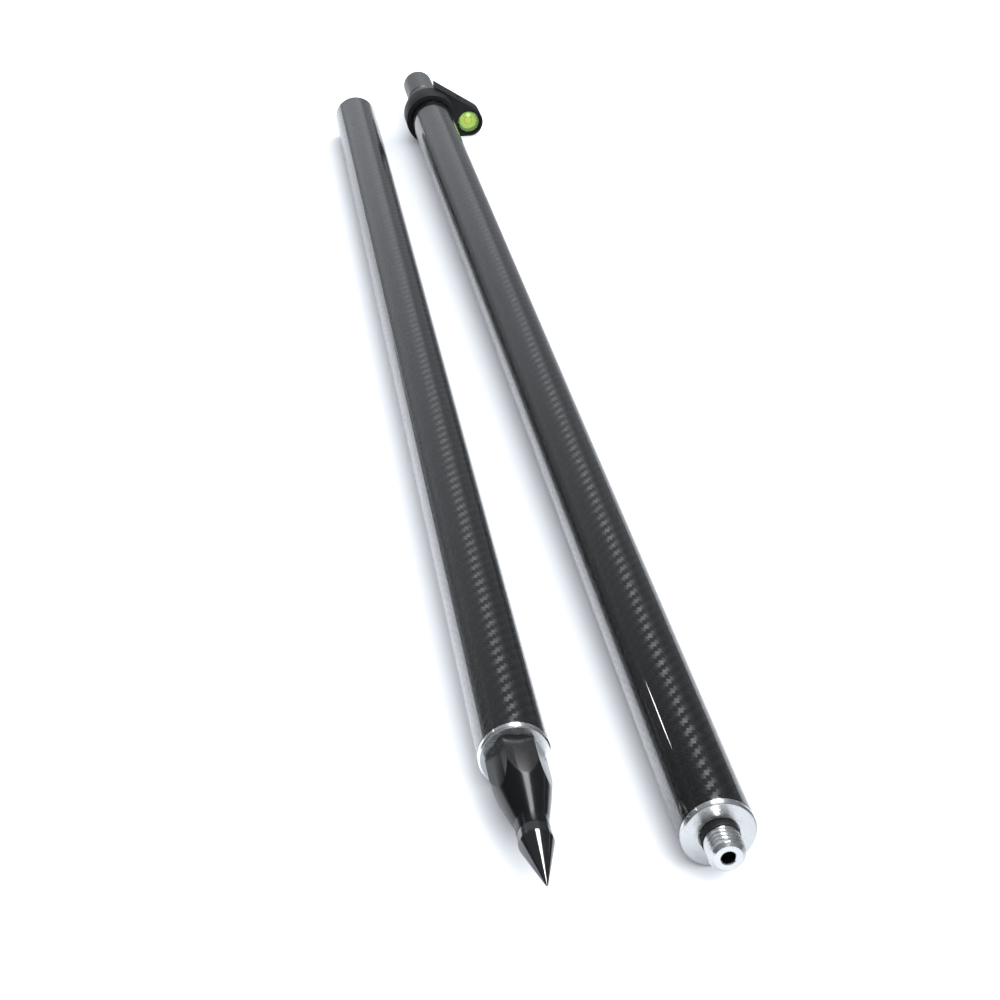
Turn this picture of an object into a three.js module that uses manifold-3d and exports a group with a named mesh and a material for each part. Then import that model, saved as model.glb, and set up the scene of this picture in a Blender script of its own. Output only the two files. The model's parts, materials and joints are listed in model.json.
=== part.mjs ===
// A two-section carbon-fibre survey pole, unscrewed and laid down side by side.
// Millimetres, +Z up. The sections lie along Y with their far ends, which screw together, at +Y.
//
// Each section is built in a frame of its own: local +Z runs along the tube's axis out of the
// near end, +Y is up and +X is to the right. Local z = 0 is the near end flange's front face.
import * as THREE from 'three';
import { mergeVertices } from 'three/addons/utils/BufferGeometryUtils.js';
import Module from 'manifold-3d';

// ---------------------------------------------------------------- driving dimensions

const gap = 0.3; // left between pieces that touch
const tubeRadius = 16;
const tubeBore = 14.5;
const flangeThick = 3;
const plugRadius = tubeBore - gap;

const lowerLength = 919; // flange face to the open mouth
const upperLength = 992.5; // flange face to the shoulder at the far end

// Where the upper section lies, measured from the lower one. Its collar is fatter than the tube,
// so it lies with its far end a little higher than its flange.
const sectionSpacing = 74.1;
const upperLead = 65.6;
const restSplay = THREE.MathUtils.degToRad(0.9);

// Point.
const pointShankRadius = 7.94; // 5/8 inch thread
const pointShankLength = 22;
const hexAcrossFlats = 23.4;
const hexRoll = THREE.MathUtils.degToRad(-4);
const coneStart = 17;
const coneSwell = 1.2; // 1 is a straight cone, more bulges outwards
const neckStart = 48;
const neckRadius = 7.2;
const tipStart = 55;
const tipRimRadius = 7.5;
const tipRim = 61.5;
const tipEnd = 88.5;
const tipShankRadius = 3;
const tipShankLength = 14;

// Stud at the top of the pole.
const studRadius = 7.94; // 5/8 inch thread
const studLength = 15.4;
const studHoleRadius = 3;
const studShankRadius = 5;
const studShankLength = 24;

// Rubber ring round the root of the stud. It stands up from a shallow recess in the flange's face.
const studRingInner = 6.2;
const studRingOuter = 8.3;
const studRingTall = 4.3;
const studRecessDepth = 0.5;
const studRingFoot = gap - studRecessDepth;

// Rubber ring at the root of the point's shank, in a recess of the flange.
const pointRingSection = 1.15;
const pointRingCentreRadius = 7.35;

// Joint between the sections.
const spigotRadius = 11.8;
const spigotLength = 60.5;
const jointThreadRadius = 12.4;
const jointThreadLength = 14;
const jointRingSection = 0.9;
const jointRingCentreRadius = 12.2;
const boreClearance = 0.4;

// Level bracket: a collar around the tube, and behind it an arm that holds the vial.
const collarRadius = 20;
const collarBore = tubeRadius + gap;
const collarFront = -954; // z of the collar's face towards the top of the pole
const collarLength = 21;
const armFront = -970;
const armThick = 20;
const armCorner = new THREE.Vector2(5.8, 21.7); // the arm's upper corner, above the tube
const bossRadius = 11.5;
const vialCentre = new THREE.Vector2(32.3, bossRadius - collarRadius); // the boss lies on the floor
const restTilt = Math.asin((collarRadius - tubeRadius) / -collarFront);

// Grip screw: it presses a nylon pad on the tube, through the arm's root.
const gripAngle = THREE.MathUtils.degToRad(20);
const gripZ = -981;
const gripPadThick = 1.5;
const gripScrewRadius = 2;
const gripScrewLength = 6;

// Vial and its cup, with depths measured back from the arm's front face.
const pocketRadius = 9.8;
const pocketDepth = 15.6;
const cupRadius = pocketRadius - gap;
const cupWall = 0.8;
const cupFront = 1;
const cupFloor = 12.1;
const cupFloorThick = 1.7;
const vialRadius = cupRadius - cupWall - gap;
const vialHeight = 9;
const vialWindow = 1.6;
const vialWall = 1.1;
const bubbleRadius = 2;
const bubbleThick = 1.1;
const baseThick = 1.2;
const adjustScrewRadius = 1.25;
const adjustScrewCircle = 5.5;

// ---------------------------------------------------------------- helpers

const wasm = await Module();
wasm.setup();

// A closed three.js geometry as a solid that can be cut and joined.
function solidOf(geometry) {
  const bare = geometry.clone();
  bare.deleteAttribute('normal');
  bare.deleteAttribute('uv');
  const merged = mergeVertices(bare, 1e-4);
  const corners = merged.index.array;
  const kept = [];
  for (let i = 0; i < corners.length; i += 3) {
    const [a, b, c] = corners.slice(i, i + 3);
    if (a !== b && b !== c && c !== a) kept.push(a, b, c);
  }
  return new wasm.Manifold(new wasm.Mesh({
    numProp: 3,
    vertProperties: merged.attributes.position.array,
    triVerts: new Uint32Array(kept),
  }));
}

function geometryOf(solid) {
  const mesh = solid.getMesh();
  const geometry = new THREE.BufferGeometry();
  geometry.setAttribute('position', new THREE.BufferAttribute(mesh.vertProperties, 3));
  geometry.setIndex(new THREE.BufferAttribute(mesh.triVerts, 1));
  geometry.computeVertexNormals();
  return geometry;
}

// A turned solid about Z. The profile's [radius, z] points run up the outside and down the inside.
function turned(profile, sides) {
  const points = profile.map(([radius, z]) => new THREE.Vector2(radius, z));
  return solidOf(new THREE.LatheGeometry(points, sides).rotateX(Math.PI / 2));
}

function rod(radius, zLow, zHigh, sides) {
  return turned([[0, zLow], [radius, zLow], [radius, zHigh], [0, zHigh]], sides);
}

function pipe(outer, inner, zLow, zHigh, sides) {
  return turned([[inner, zLow], [outer, zLow], [outer, zHigh], [inner, zHigh], [inner, zLow]], sides);
}

// A rubber ring of round section around Z.
function ring(centreRadius, section, z, sides) {
  const profile = [];
  for (let step = 0; step <= 8; step += 1) {
    const turn = (step / 8 - 0.5) * 2 * Math.PI + Math.PI / 8;
    profile.push([centreRadius + section * Math.cos(turn), z + section * Math.sin(turn)]);
  }
  return turned(profile, sides);
}

// A flat outline pushed back from z = zHigh to z = zLow.
function plate(shape, zLow, zHigh, curveSegments) {
  const geometry = new THREE.ExtrudeGeometry(shape, {
    depth: zHigh - zLow,
    bevelEnabled: false,
    curveSegments,
  });
  return solidOf(geometry.translate(0, 0, zLow));
}

function piece(name, solid, material) {
  const mesh = new THREE.Mesh(geometryOf(solid), material.clone());
  mesh.name = name;
  return mesh;
}

// ---------------------------------------------------------------- materials

const carbon = new THREE.MeshStandardMaterial({ color: 0x1b1c1e, roughness: 0.12, metalness: 0.2 });
const aluminium = new THREE.MeshStandardMaterial({ color: 0xd5d8da, roughness: 0.28, metalness: 1 });
const blackAnodised = new THREE.MeshStandardMaterial({ color: 0x17191c, roughness: 0.35, metalness: 0.6 });
const blackSteel = new THREE.MeshStandardMaterial({ color: 0x101114, roughness: 0.12, metalness: 0.9 });
const rubber = new THREE.MeshStandardMaterial({ color: 0x0c0c0d, roughness: 0.7, metalness: 0 });
const spigotMetal = new THREE.MeshStandardMaterial({ color: 0x5b5d61, roughness: 0.4, metalness: 0.8 });
const bracketBlack = new THREE.MeshStandardMaterial({ color: 0x141517, roughness: 0.55, metalness: 0.2 });
const screwSteel = new THREE.MeshStandardMaterial({ color: 0x2c2d30, roughness: 0.3, metalness: 0.9 });
const clearAcrylic = new THREE.MeshStandardMaterial({
  color: 0xe6f4dc, roughness: 0.05, metalness: 0, transparent: true, opacity: 0.35,
});
const greenFluid = new THREE.MeshStandardMaterial({ color: 0xb0d060, roughness: 0.1, metalness: 0 });
const bubbleClear = new THREE.MeshStandardMaterial({ color: 0xe9f7c8, roughness: 0.05, metalness: 0 });
const nylon = new THREE.MeshStandardMaterial({ color: 0xe8e6dc, roughness: 0.5, metalness: 0 });
const paleBase = new THREE.MeshStandardMaterial({ color: 0xeef2e6, roughness: 0.6, metalness: 0 });

// ---------------------------------------------------------------- lower section

function lowerTube() {
  return piece('lower_tube', pipe(tubeRadius, tubeBore, -lowerLength, -flangeThick - gap, 48), carbon);
}

// The flange covers the tube's end. A counterbore in its face holds the point's rubber ring.
function pointFerrule() {
  const plugEnd = -43;
  const boreRadius = pointShankRadius + boreClearance;
  const recessRadius = pointRingCentreRadius + pointRingSection + gap;
  const recessDepth = 2 * pointRingSection + 2 * gap;
  const bevel = 0.6;
  const solid = turned([
    [boreRadius, plugEnd],
    [plugRadius, plugEnd],
    [plugRadius, -flangeThick],
    [tubeRadius, -flangeThick],
    [tubeRadius, -bevel],
    [tubeRadius - bevel, 0],
    [recessRadius, 0],
    [recessRadius, -recessDepth],
    [boreRadius, -recessDepth],
    [boreRadius, plugEnd],
  ], 48);
  return piece('point_ferrule', solid, aluminium);
}

function pointSealRing() {
  const z = -pointRingSection - gap;
  return piece('point_seal_ring', ring(pointRingCentreRadius, pointRingSection, z, 24), rubber);
}

// Hexagon collar whose flats run out in the cone, then the neck that holds the tip.
function pointBody() {
  const back = gap;
  const hexCorner = hexAcrossFlats / Math.sqrt(3);
  const grooveRadius = pointRingCentreRadius - pointRingSection - gap;
  const grooveEnd = -2 * pointRingSection - 2 * gap;
  const chamfer = 1.2;
  const coneSteps = 8;
  const profile = [
    [0, -pointShankLength],
    [pointShankRadius - chamfer, -pointShankLength],
    [pointShankRadius, -pointShankLength + chamfer],
    [pointShankRadius, grooveEnd],
    [grooveRadius, grooveEnd],
    [grooveRadius, back],
    [hexCorner, back],
  ];
  for (let step = 0; step <= coneSteps; step += 1) {
    const along = step / coneSteps;
    const radius = hexCorner - (hexCorner - neckRadius) * along ** coneSwell;
    profile.push([radius, coneStart + (neckStart - coneStart) * along]);
  }
  profile.push([neckRadius, tipStart], [0, tipStart]);
  const outside = turned(profile, 48);
  const wrench = new THREE.CylinderGeometry(hexCorner, hexCorner, tipStart - back + 2, 6);
  wrench.rotateX(Math.PI / 2).rotateZ(Math.PI / 2 + hexRoll);
  wrench.translate(0, 0, (tipStart + back) / 2);
  const shank = rod(pointShankRadius, -pointShankLength, back, 48);
  const blank = solidOf(wrench).add(shank);
  const socket = rod(tipShankRadius + gap, tipStart - tipShankLength - gap, tipStart + 1, 24);
  return piece('point_body', outside.intersect(blank).subtract(socket), blackAnodised);
}

function pointTip() {
  const start = tipStart + gap;
  const nose = 0.5;
  const solid = turned([
    [0, start - tipShankLength],
    [tipShankRadius, start - tipShankLength],
    [tipShankRadius, start],
    [neckRadius, start],
    [tipRimRadius, tipRim],
    [nose, tipEnd - nose],
    [0, tipEnd],
  ], 36);
  return piece('point_tip', solid, blackSteel);
}

// Sleeve inside the lower tube's far end: a plain bore for the guide and a wider one for the thread.
function jointSocket() {
  const mouth = -lowerLength;
  const guideBore = spigotRadius + boreClearance;
  const threadBore = jointThreadRadius + boreClearance;
  const ringBore = jointRingCentreRadius + jointRingSection + gap;
  const ringDepth = 3;
  const threadDepth = 18;
  const sleeveLength = spigotLength + 8;
  const solid = turned([
    [ringBore, mouth],
    [plugRadius, mouth],
    [plugRadius, mouth + sleeveLength],
    [guideBore, mouth + sleeveLength],
    [guideBore, mouth + threadDepth],
    [threadBore, mouth + threadDepth],
    [threadBore, mouth + ringDepth],
    [ringBore, mouth + ringDepth],
    [ringBore, mouth],
  ], 48);
  return piece('joint_socket', solid, aluminium);
}

// ---------------------------------------------------------------- upper section

function upperTube() {
  const farEnd = -upperLength + flangeThick + gap;
  return piece('upper_tube', pipe(tubeRadius, tubeBore, farEnd, -flangeThick - gap, 48), carbon);
}

function topFerrule() {
  const plugEnd = -40;
  const boreRadius = studShankRadius + gap;
  const recessRadius = studRingOuter + gap;
  const bevel = 0.6;
  const solid = turned([
    [boreRadius, plugEnd],
    [plugRadius, plugEnd],
    [plugRadius, -flangeThick],
    [tubeRadius, -flangeThick],
    [tubeRadius, -bevel],
    [tubeRadius - bevel, 0],
    [recessRadius, 0],
    [recessRadius, -studRecessDepth],
    [boreRadius, -studRecessDepth],
    [boreRadius, plugEnd],
  ], 48);
  return piece('top_ferrule', solid, aluminium);
}

function topSealRing() {
  const low = studRingFoot;
  const high = low + studRingTall;
  const rounding = 0.7;
  const solid = turned([
    [studRingInner, low],
    [studRingOuter - rounding, low],
    [studRingOuter, low + rounding],
    [studRingOuter, high - rounding],
    [studRingOuter - rounding, high],
    [studRingInner, high],
    [studRingInner, low],
  ], 32);
  return piece('top_seal_ring', solid, rubber);
}

function topStud() {
  const grooveRadius = studRingInner - gap;
  const grooveEnd = studRingFoot + studRingTall + gap;
  const chamfer = 2;
  const holeDepth = 12;
  const solid = turned([
    [0, -studShankLength],
    [studShankRadius, -studShankLength],
    [studShankRadius, studRingFoot],
    [grooveRadius, studRingFoot],
    [grooveRadius, grooveEnd],
    [studRadius, grooveEnd],
    [studRadius, studLength - chamfer],
    [studRadius - chamfer, studLength],
    [studHoleRadius, studLength],
    [studHoleRadius, studLength - holeDepth],
    [0, studLength - holeDepth],
  ], 36);
  return piece('top_stud', solid, aluminium);
}

// The spigot's profile is written from its free end at the lowest z up to the glued plug.
function jointSpigot() {
  const shoulder = -upperLength;
  const freeEnd = shoulder - spigotLength;
  const chamfer = 2;
  const grooveRadius = jointRingCentreRadius - jointRingSection - gap;
  const grooveEnd = shoulder - 2 * jointRingSection - 2 * gap;
  const plugLength = 45;
  const boreRadius = 8;
  const solid = turned([
    [boreRadius, freeEnd],
    [spigotRadius - chamfer, freeEnd],
    [spigotRadius, freeEnd + chamfer],
    [spigotRadius, grooveEnd - jointThreadLength],
    [jointThreadRadius, grooveEnd - jointThreadLength],
    [jointThreadRadius, grooveEnd],
    [grooveRadius, grooveEnd],
    [grooveRadius, shoulder],
    [tubeRadius, shoulder],
    [tubeRadius, shoulder + flangeThick],
    [plugRadius, shoulder + flangeThick],
    [plugRadius, shoulder + flangeThick + plugLength],
    [boreRadius, shoulder + flangeThick + plugLength],
    [boreRadius, freeEnd],
  ], 48);
  return piece('joint_spigot', solid, spigotMetal);
}

function jointSealRing() {
  const z = -upperLength - jointRingSection - gap;
  return piece('joint_seal_ring', ring(jointRingCentreRadius, jointRingSection, z, 32), rubber);
}

// ---------------------------------------------------------------- level bracket

// The point where a line from `from` touches the upper right side of a circle.
function tangentPoint(from, centre, radius) {
  const toCentre = centre.clone().sub(from);
  const half = Math.asin(radius / toCentre.length());
  const reach = Math.sqrt(toCentre.lengthSq() - radius * radius);
  return toCentre.normalize().rotateAround(new THREE.Vector2(), half).multiplyScalar(reach).add(from);
}

// The arm: from its corner above the tube it slopes down round the vial's boss to a flat underside.
function armShape() {
  const slope = tangentPoint(armCorner, vialCentre, bossRadius);
  const slopeTurn = slope.clone().sub(vialCentre).angle();
  const shape = new THREE.Shape();
  shape.moveTo(armCorner.x, -collarRadius);
  shape.lineTo(vialCentre.x, -collarRadius);
  shape.absarc(vialCentre.x, vialCentre.y, bossRadius, -Math.PI / 2, slopeTurn, false);
  shape.lineTo(armCorner.x, armCorner.y);
  return shape;
}

// Turns a solid made about Z so that it lies along the grip screw's axis, pointing outwards.
function alongGripScrew(solid) {
  const outwards = new THREE.Vector3(Math.cos(gripAngle), Math.sin(gripAngle), 0);
  const turn = new THREE.Quaternion().setFromUnitVectors(new THREE.Vector3(0, 0, 1), outwards);
  const place = new THREE.Matrix4().makeRotationFromQuaternion(turn).setPosition(0, 0, gripZ);
  return solid.transform(place.elements);
}

function levelBracket() {
  const armRear = armFront - armThick;
  const beyond = 1;
  const collar = rod(collarRadius, collarFront - collarLength, collarFront, 48);
  const arm = plate(armShape(), armRear, armFront, 24);
  const bore = rod(collarBore, armRear - beyond, collarFront + beyond, 48);
  const pocket = onVialAxis(rod(pocketRadius, armFront - pocketDepth, armFront + beyond, 36));
  const gripHole = alongGripScrew(rod(gripScrewRadius + gap, 0, 2 * collarRadius, 16));
  let solid = collar.add(arm).subtract(bore).subtract(pocket).subtract(gripHole);
  for (const centre of adjustScrewCentres()) {
    const hole = rod(adjustScrewRadius + gap, armRear - beyond, armFront - pocketDepth + beyond, 12);
    solid = solid.subtract(hole.translate([centre.x, centre.y, 0]));
  }
  return piece('level_bracket', solid, bracketBlack);
}

const gripPadStart = collarBore + gap;

function gripPad() {
  const pad = rod(gripScrewRadius, gripPadStart, gripPadStart + gripPadThick, 16);
  return piece('grip_pad', alongGripScrew(pad), nylon);
}

function gripScrew() {
  const start = gripPadStart + gripPadThick + gap;
  const end = start + gripScrewLength;
  const keyRadius = 1;
  const keyDepth = 2.5;
  const solid = turned([
    [0, start],
    [gripScrewRadius, start],
    [gripScrewRadius, end],
    [keyRadius, end],
    [keyRadius, end - keyDepth],
    [0, end - keyDepth],
  ], 16);
  return piece('grip_screw', alongGripScrew(solid), screwSteel);
}

function adjustScrewCentres() {
  const centres = [];
  for (let index = 0; index < 3; index += 1) {
    const turn = Math.PI / 2 + index * 2 * Math.PI / 3;
    centres.push(new THREE.Vector2(Math.cos(turn), Math.sin(turn))
      .multiplyScalar(adjustScrewCircle).add(vialCentre));
  }
  return centres;
}

// A piece made about Z and moved onto the vial's axis.
function onVialAxis(solid) {
  return solid.translate([vialCentre.x, vialCentre.y, 0]);
}

function vialCup() {
  const front = armFront - cupFront;
  const floorTop = armFront - cupFloor;
  const floorBottom = floorTop - cupFloorThick;
  let solid = onVialAxis(turned([
    [0, floorBottom],
    [cupRadius, floorBottom],
    [cupRadius, front],
    [cupRadius - cupWall, front],
    [cupRadius - cupWall, floorTop],
    [0, floorTop],
  ], 36));
  for (const centre of adjustScrewCentres()) {
    const hole = rod(adjustScrewRadius + gap, floorBottom - 1, floorTop + 1, 12);
    solid = solid.subtract(hole.translate([centre.x, centre.y, 0]));
  }
  return piece('vial_cup', solid, blackAnodised);
}

// Clear cup, open at the back, whose window is thinner at the rim so that the bubble finds the middle.
const vialFront = armFront - cupFront - gap;
const vialBack = vialFront - vialHeight;

function vialBody() {
  const cavityRadius = vialRadius - vialWall;
  const domeRise = 0.5;
  const solid = turned([
    [cavityRadius, vialBack],
    [vialRadius, vialBack],
    [vialRadius, vialFront - 0.4],
    [vialRadius - 0.4, vialFront],
    [0, vialFront],
    [0, vialFront - vialWindow],
    [cavityRadius * 0.55, vialFront - vialWindow - domeRise * 0.3],
    [cavityRadius, vialFront - vialWindow - domeRise],
    [cavityRadius, vialBack],
  ], 36);
  return piece('vial_body', onVialAxis(solid), clearAcrylic);
}

const bubbleLevel = vialFront - vialWindow - 0.5 - gap;

function vialBubble() {
  const offset = vialRadius - vialWall - bubbleRadius - gap;
  const solid = turned([
    [0, bubbleLevel - bubbleThick],
    [bubbleRadius * 0.7, bubbleLevel - bubbleThick],
    [bubbleRadius, bubbleLevel - bubbleThick / 2],
    [bubbleRadius * 0.7, bubbleLevel],
    [0, bubbleLevel],
  ], 20);
  return piece('vial_bubble', onVialAxis(solid).translate([0, offset, 0]), bubbleClear);
}

function vialFluid() {
  const top = bubbleLevel - bubbleThick - gap;
  const solid = rod(vialRadius - vialWall - gap, vialBack, top, 32);
  return piece('vial_fluid', onVialAxis(solid), greenFluid);
}

function vialBase() {
  const top = vialBack - gap;
  return piece('vial_base', onVialAxis(rod(vialRadius, top - baseThick, top, 36)), paleBase);
}

function vialCushion() {
  const top = armFront - cupFloor - cupFloorThick - gap;
  const bottom = armFront - pocketDepth + gap;
  return piece('vial_cushion', onVialAxis(pipe(cupRadius, 7.4, bottom, top, 32)), rubber);
}

function adjustScrews() {
  const headSeat = armFront - armThick - gap;
  const headTall = 1.6;
  const headRadius = 2.25;
  const slotRadius = 0.8;
  const tip = armFront - cupFloor - 0.4;
  return adjustScrewCentres().map((centre, index) => {
    const solid = turned([
      [0, headSeat - headTall / 2],
      [slotRadius, headSeat - headTall / 2],
      [slotRadius, headSeat - headTall],
      [headRadius, headSeat - headTall],
      [headRadius, headSeat],
      [adjustScrewRadius, headSeat],
      [adjustScrewRadius, tip],
      [0, tip],
    ], 12);
    return piece(`adjust_screw_${index + 1}`, solid.translate([centre.x, centre.y, 0]), screwSteel);
  });
}

// ---------------------------------------------------------------- assembly

const lowerSection = new THREE.Group();
lowerSection.add(lowerTube(), pointFerrule(), pointSealRing(), pointBody(), pointTip(), jointSocket());
lowerSection.rotation.set(Math.PI / 2, 0, 0);

const upperSection = new THREE.Group();
upperSection.add(upperTube(), topFerrule(), topSealRing(), topStud(), jointSpigot(), jointSealRing());
upperSection.add(levelBracket(), gripPad(), gripScrew());
upperSection.add(vialCup(), vialBody(), vialFluid(), vialBubble(), vialBase(), vialCushion());
upperSection.add(...adjustScrews());
upperSection.rotation.set(Math.PI / 2 + restTilt, 0, restSplay, 'ZXY');
upperSection.position.set(sectionSpacing, -upperLead, 0);

// The origin is on the floor, below the middle of everything that lies on it.
const pole = new THREE.Group();
pole.name = 'survey_pole';
pole.add(lowerSection, upperSection);
pole.updateMatrixWorld(true);
const reach = new THREE.Box3().setFromObject(pole, true);
const middle = reach.getCenter(new THREE.Vector3());
pole.position.set(-middle.x, -middle.y, -reach.min.z);

export default pole;
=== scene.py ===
"""The looks of a two-section carbon-fibre survey pole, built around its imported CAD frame.

Pieces are drawn in millimetres in the frame of the section they belong to: local +Z runs along the
tube's axis out of its near end, +Y is up, +X is to the right, and z = 0 is the near flange's face.
They become metres when a mesh is made. Lights, floor and camera are in metres, in the CAD's frame.
"""
import json
import math

import bmesh
import bpy
from mathutils import Matrix, Vector


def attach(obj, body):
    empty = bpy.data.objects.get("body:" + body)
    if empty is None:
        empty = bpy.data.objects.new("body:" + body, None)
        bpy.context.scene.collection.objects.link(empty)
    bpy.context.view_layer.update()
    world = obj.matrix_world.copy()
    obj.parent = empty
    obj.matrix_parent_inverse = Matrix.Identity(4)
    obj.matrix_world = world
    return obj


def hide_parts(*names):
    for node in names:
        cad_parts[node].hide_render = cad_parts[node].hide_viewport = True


MM = 0.001
TURN = 2 * math.pi

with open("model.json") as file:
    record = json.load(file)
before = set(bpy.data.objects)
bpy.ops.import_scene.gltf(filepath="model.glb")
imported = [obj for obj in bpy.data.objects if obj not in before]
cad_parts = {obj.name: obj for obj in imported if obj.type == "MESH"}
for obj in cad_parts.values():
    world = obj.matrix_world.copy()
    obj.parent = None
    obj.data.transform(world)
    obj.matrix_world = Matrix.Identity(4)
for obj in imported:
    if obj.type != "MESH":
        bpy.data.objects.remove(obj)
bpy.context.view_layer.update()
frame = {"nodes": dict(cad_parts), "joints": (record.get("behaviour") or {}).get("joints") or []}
joints = {joint["name"]: joint for joint in frame["joints"]}

# -------------------- driving dimensions, in millimetres

GAP = 0.3  # left between pieces that touch
TUBE_BORE = 14.5
LAMINATE_BEVEL = 0.25
FLANGE_THICK = 3.0

INSTRUMENT_PITCH = 25.4 / 11  # 5/8 inch, 11 threads to the inch
INSTRUMENT_DEPTH = 1.25
JOINT_PITCH = 1.5
JOINT_DEPTH = 0.8
POINT_SHANK_RADIUS = 7.94
POINT_GROOVE_RADIUS = 5.9
STUD_SHANK_RADIUS = 5.0
STUD_GROOVE_RADIUS = 5.9
STUD_HOLE_RADIUS = 3.0

NECK_RADIUS = 7.2
NECK_LENGTH = 7.0
CONE_LENGTH = 31.0
CONE_SWELL = 1.2  # 1 is a straight cone, more bulges outwards
TIP_RISE = 6.2  # from the tip's seat to its widest part

COLLAR_RADIUS = 20.0
COLLAR_LENGTH = 21.0
ARM_SETBACK = 16.0  # of the arm's front from the collar's
ARM_CORNER = Vector((5.8, 21.7))
ADJUST_SCREW_RADIUS = 1.25
ADJUST_SCREWS = [f"adjust_screw_{number}" for number in (1, 2, 3)]

TOWS_AROUND = 52  # a multiple of four, so that the twill closes on itself

FILL = 2.2  # strength of the soft light that only matt surfaces get
FILL_LEAN = 0.9  # how much stronger it is from the right, as a share


# -------------------- frames of the sections


class Place:
    """A frame that pieces are drawn in, and what the CAD nodes measure in it, in millimetres."""

    def __init__(self, matrix):
        self.matrix = matrix

    def shifted(self, x, y, z=0.0):
        """The same directions about another point of this frame."""
        return Place(self.matrix @ Matrix.Translation(Vector((x, y, z)) * MM))

    def points(self, node):
        to_local = self.matrix.inverted()
        return [(to_local @ vertex.co) / MM for vertex in frame["nodes"][node].data.vertices]

    def span(self, node):
        """Lowest and highest z of a node."""
        heights = [point.z for point in self.points(node)]
        return min(heights), max(heights)

    def radius(self, node):
        return max(math.hypot(point.x, point.y) for point in self.points(node))

    def centre(self, node):
        """Middle of a node's box across the axis."""
        points = self.points(node)
        xs = [point.x for point in points]
        ys = [point.y for point in points]
        return (min(xs) + max(xs)) / 2, (min(ys) + max(ys)) / 2


def place_along(origin, out):
    """A frame at a point in metres, with +Z along out and +X level."""
    z = Vector(out).normalized()
    x = Vector((0, 0, 1)).cross(z).normalized()
    y = z.cross(x)
    turn = Matrix((x, y, z)).transposed().to_4x4()
    return Place(Matrix.Translation(Vector(origin)) @ turn)


lower = place_along(joints["point_turn"]["pos_m"], joints["point_turn"]["axis"])
upper = place_along(joints["section_turn"]["pos_m"], -Vector(joints["section_turn"]["axis"]))
grip = place_along(joints["grip_screw_turn"]["pos_m"], joints["grip_screw_turn"]["axis"])
vial = upper.shifted(*upper.centre("vial_cup"))

TUBE_RADIUS = lower.radius("lower_tube")
PLUG_RADIUS = TUBE_BORE - GAP

# -------------------- meshes


def finish_mesh(piece, crease):
    """Turns the faces outwards and shades them smooth, but for edges over crease degrees."""
    work = bmesh.new()
    work.from_mesh(piece.data)
    bmesh.ops.remove_doubles(work, verts=work.verts, dist=1e-7)
    bmesh.ops.recalc_face_normals(work, faces=work.faces)
    work.to_mesh(piece.data)
    work.free()
    for polygon in piece.data.polygons:
        polygon.use_smooth = True
    piece.data.set_sharp_from_angle(angle=math.radians(crease))


def new_object(name, vertices, faces, place):
    mesh = bpy.data.meshes.new(name)
    mesh.from_pydata([Vector(vertex) * MM for vertex in vertices], [], faces)
    piece = bpy.data.objects.new(name, mesh)
    bpy.context.scene.collection.objects.link(piece)
    piece.matrix_world = place.matrix
    return piece


def add_piece(piece, finish, body, slot, *nodes, crease=28):
    """Gives a finished mesh its material and its body, and hides the CAD nodes it stands for."""
    finish_mesh(piece, crease)
    piece.data.materials.clear()
    piece.data.materials.append(finish)
    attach(piece, body)
    if nodes:
        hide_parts(*nodes)


def eased(corners):
    """A profile whose corners that have a third value are rounded over that length. A point beyond
    each end of the rounding keeps its shading off the long faces beside it."""
    steps = 4
    support = 1.4
    points = []
    count = len(corners)
    for index, corner in enumerate(corners):
        here = Vector(corner[:2])
        if len(corner) == 2:
            points.append(tuple(here))
            continue
        before = (Vector(corners[index - 1][:2]) - here).normalized() * corner[2]
        after = (Vector(corners[(index + 1) % count][:2]) - here).normalized() * corner[2]
        points.append(tuple(here + before * support))
        for step in range(steps + 1):
            t = step / steps
            points.append(tuple(here + before * (1 - t) ** 2 + after * t * t))
        points.append(tuple(here + after * support))
    return points


def turned(profile, sides=96, cut=None):
    """Vertices and faces of a closed profile of (radius, z) points turned about Z.
    cut(angle, radius, z) is taken off the radius."""
    vertices = []
    rings = []
    for radius, z in profile:
        start = len(vertices)
        if radius < 1e-6:
            vertices.append((0, 0, z))
            rings.append([start] * sides)
            continue
        for side in range(sides):
            angle = TURN * side / sides
            reach = radius - cut(angle, radius, z) if cut else radius
            vertices.append((reach * math.cos(angle), reach * math.sin(angle), z))
        rings.append(list(range(start, start + sides)))
    faces = []
    for index, ring in enumerate(rings):
        following = rings[(index + 1) % len(rings)]
        for side in range(sides):
            beside = (side + 1) % sides
            corners = [ring[side], ring[beside], following[beside], following[side]]
            face = list(dict.fromkeys(corners))
            if len(face) > 2:
                faces.append(face)
    return vertices, faces


def turned_piece(name, place, profile, sides=96, cut=None):
    vertices, faces = turned(eased(profile), sides, cut)
    return new_object(name, vertices, faces, place)


def round_ring(centre_radius, section, z, steps=20):
    """Profile of a round-section ring."""
    profile = []
    for step in range(steps):
        turn = TURN * step / steps
        profile.append((centre_radius + section * math.cos(turn), z + section * math.sin(turn)))
    return profile


def levels(radius, z_from, z_to, pitch):
    """Profile points along a threaded length, close enough to draw the thread's flanks."""
    per_turn = 12
    count = max(2, round(abs(z_to - z_from) / pitch * per_turn))
    return [(radius, z_from + (z_to - z_from) * step / count) for step in range(count + 1)]


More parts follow.
